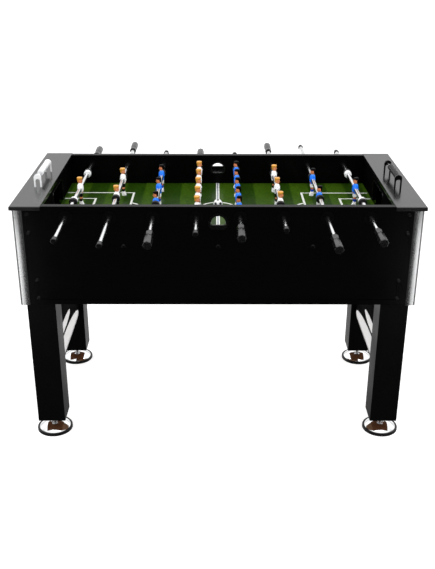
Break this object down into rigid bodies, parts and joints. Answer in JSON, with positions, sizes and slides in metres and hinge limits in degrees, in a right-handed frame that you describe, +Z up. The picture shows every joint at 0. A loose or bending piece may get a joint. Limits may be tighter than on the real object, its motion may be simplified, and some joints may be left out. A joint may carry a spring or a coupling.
{
  "type": "table football table",
  "caption": "Table football table: box cabinet with printed pitch, sliding and spinning rods of moulded men, bead score counters and square legs on round levelling feet.",
  "frame": {"origin": "centre of the bounding box on the floor, at the foot bottoms", "axes": "+X along the table towards the right-hand goal, +Y across it away from the near side, +Z up"},
  "size_m": [1.397, 1.31, 0.955],
  "materials": {
    "black_laminate": "satin laminate",
    "matte_black_board": "matte paint",
    "raw_board": "raw fibreboard",
    "cap_laminate": "satin laminate",
    "green_print": "gloss print",
    "satin_aluminium": "satin",
    "pale_inlay": "satin",
    "polished_steel": "polished",
    "chrome_plate": "polished",
    "black_metal": "satin",
    "black_plastic": "satin",
    "black_rubber": "matte",
    "white_plastic": "gloss",
    "ball_plastic": "gloss",
    "white_team": "painted",
    "blue_team": "painted"
  },
  "bodies": {
    "cabinet": {"front_panel": "black_laminate", "back_panel": "black_laminate", "end_panels": "black_laminate", "goal_walls": "black_laminate", "playfield": "green_print", "goal_boxes": "black_plastic", "bottom_board": "raw_board", "end_caps": "cap_laminate", "corner_trims": "satin_aluminium", "legs": "black_laminate", "end_aprons": "matte_black_board", "apron_blades": "pale_inlay", "rod_bushings": "black_plastic", "ball_entries": "black_plastic", "bolts": "black_metal", "score_frame_left": "white_plastic", "score_frame_right": "black_plastic"},
    "foot_front_left": {"foot_front_left": "chrome_plate"},
    "foot_front_right": {"foot_front_right": "chrome_plate"},
    "foot_back_left": {"foot_back_left": "chrome_plate"},
    "foot_back_right": {"foot_back_right": "chrome_plate"},
    "score_beads_left": {"score_beads_left": "white_plastic"},
    "score_beads_right": {"score_beads_right": "black_plastic"},
    "ball": {"ball": "ball_plastic"},
    "rod1_liner": {"rod1_sleeves": "black_rubber"},
    "rod1": {"rod1_shaft": "polished_steel", "rod1_men": "white_team", "rod1_grip": "black_plastic", "rod1_collars": "white_plastic"},
    "rod2_liner": {"rod2_sleeves": "black_rubber"},
    "rod2": {"rod2_shaft": "polished_steel", "rod2_men": "white_team", "rod2_grip": "black_plastic"},
    "rod3_liner": {"rod3_sleeves": "black_rubber"},
    "rod3": {"rod3_shaft": "polished_steel", "rod3_men": "blue_team", "rod3_grip": "black_plastic"},
    "rod4_liner": {"rod4_sleeves": "black_rubber"},
    "rod4": {"rod4_shaft": "polished_steel", "rod4_men": "white_team", "rod4_grip": "black_plastic"},
    "rod5_liner": {"rod5_sleeves": "black_rubber"},
    "rod5": {"rod5_shaft": "polished_steel", "rod5_men": "blue_team", "rod5_grip": "black_plastic"},
    "rod6_liner": {"rod6_sleeves": "black_rubber"},
    "rod6": {"rod6_shaft": "polished_steel", "rod6_men": "white_team", "rod6_grip": "black_plastic"},
    "rod7_liner": {"rod7_sleeves": "black_rubber"},
    "rod7": {"rod7_shaft": "polished_steel", "rod7_men": "blue_team", "rod7_grip": "black_plastic"},
    "rod8_liner": {"rod8_sleeves": "black_rubber"},
    "rod8": {"rod8_shaft": "polished_steel", "rod8_men": "blue_team", "rod8_grip": "black_plastic", "rod8_collars": "white_plastic"}
  },
  "joints": [
    {"name": "foot_front_left_screw", "type": "slide", "parent": "cabinet", "child": "foot_front_left", "axis": [0, 0, 1], "range_m": [-0.012, 0.008]},
    {"name": "foot_front_right_screw", "type": "slide", "parent": "cabinet", "child": "foot_front_right", "axis": [0, 0, 1], "range_m": [-0.012, 0.008]},
    {"name": "foot_back_left_screw", "type": "slide", "parent": "cabinet", "child": "foot_back_left", "axis": [0, 0, 1], "range_m": [-0.012, 0.008]},
    {"name": "foot_back_right_screw", "type": "slide", "parent": "cabinet", "child": "foot_back_right", "axis": [0, 0, 1], "range_m": [-0.012, 0.008]},
    {"name": "score_beads_left_slide", "type": "slide", "parent": "cabinet", "child": "score_beads_left", "axis": [0, 1, 0], "range_m": [-0.048, 0]},
    {"name": "score_beads_right_slide", "type": "slide", "parent": "cabinet", "child": "score_beads_right", "axis": [0, 1, 0], "range_m": [0, 0.048]},
    {"name": "ball_roll", "type": "slide", "parent": "cabinet", "child": "ball", "axis": [0, 1, 0], "range_m": [-0.28, 0.295]},
    {"name": "rod1_spin", "type": "hinge", "parent": "cabinet", "child": "rod1_liner", "pos_m": [-0.511, 0, 0.869], "axis": [0, 1, 0], "continuous": true},
    {"name": "rod1_slide", "type": "slide", "parent": "rod1_liner", "child": "rod1", "axis": [0, 1, 0], "range_m": [-0.105, 0.11]},
    {"name": "rod2_spin", "type": "hinge", "parent": "cabinet", "child": "rod2_liner", "pos_m": [-0.365, 0, 0.869], "axis": [0, 1, 0], "continuous": true},
    {"name": "rod2_slide", "type": "slide", "parent": "rod2_liner", "child": "rod2", "axis": [0, 1, 0], "range_m": [-0.17, 0.17]},
    {"name": "rod3_spin", "type": "hinge", "parent": "cabinet", "child": "rod3_liner", "pos_m": [-0.219, 0, 0.869], "axis": [0, 1, 0], "continuous": true},
    {"name": "rod3_slide", "type": "slide", "parent": "rod3_liner", "child": "rod3", "axis": [0, 1, 0], "range_m": [-0.098, 0.12]},
    {"name": "rod4_spin", "type": "hinge", "parent": "cabinet", "child": "rod4_liner", "pos_m": [-0.073, 0, 0.869], "axis": [0, 1, 0], "continuous": true},
    {"name": "rod4_slide", "type": "slide", "parent": "rod4_liner", "child": "rod4", "axis": [0, 1, 0], "range_m": [-0.046, 0.068]},
    {"name": "rod5_spin", "type": "hinge", "parent": "cabinet", "child": "rod5_liner", "pos_m": [0.073, 0, 0.869], "axis": [0, 1, 0], "continuous": true},
    {"name": "rod5_slide", "type": "slide", "parent": "rod5_liner", "child": "rod5", "axis": [0, 1, 0], "range_m": [-0.046, 0.068]},
    {"name": "rod6_spin", "type": "hinge", "parent": "cabinet", "child": "rod6_liner", "pos_m": [0.219, 0, 0.869], "axis": [0, 1, 0], "continuous": true},
    {"name": "rod6_slide", "type": "slide", "parent": "rod6_liner", "child": "rod6", "axis": [0, 1, 0], "range_m": [-0.098, 0.103]},
    {"name": "rod7_spin", "type": "hinge", "parent": "cabinet", "child": "rod7_liner", "pos_m": [0.365, 0, 0.869], "axis": [0, 1, 0], "continuous": true},
    {"name": "rod7_slide", "type": "slide", "parent": "rod7_liner", "child": "rod7", "axis": [0, 1, 0], "range_m": [-0.17, 0.17]},
    {"name": "rod8_spin", "type": "hinge", "parent": "cabinet", "child": "rod8_liner", "pos_m": [0.511, 0, 0.869], "axis": [0, 1, 0], "continuous": true},
    {"name": "rod8_slide", "type": "slide", "parent": "rod8_liner", "child": "rod8", "axis": [0, 1, 0], "range_m": [-0.129, 0.11]}
  ]
}
